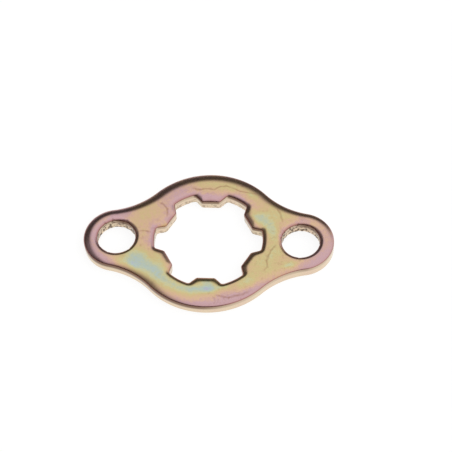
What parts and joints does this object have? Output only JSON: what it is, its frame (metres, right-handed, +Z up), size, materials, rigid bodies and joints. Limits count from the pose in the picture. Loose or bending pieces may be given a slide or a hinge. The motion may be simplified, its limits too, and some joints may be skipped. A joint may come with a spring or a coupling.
{
  "type": "sprocket lock washer",
  "caption": "Flat stamped steel plate with a splined opening that slips over a shaft's splines, and an ear with a bolt hole at each end; locks a drive sprocket in place.",
  "frame": {"origin": "on the shaft axis, in the plate's bottom face", "axes": "+X from the shaft axis to one bolt hole, +Z up through the plate's thickness to the face with the rolled edges"},
  "size_m": [0.0462, 0.0288, 0.0026],
  "materials": {
    "zinc_plated_steel": "zinc plate with yellow passivate, satin, with pink, green and blue interference tints"
  },
  "bodies": {
    "root": {"lock_washer": "zinc_plated_steel"}
  },
  "joints": []
}
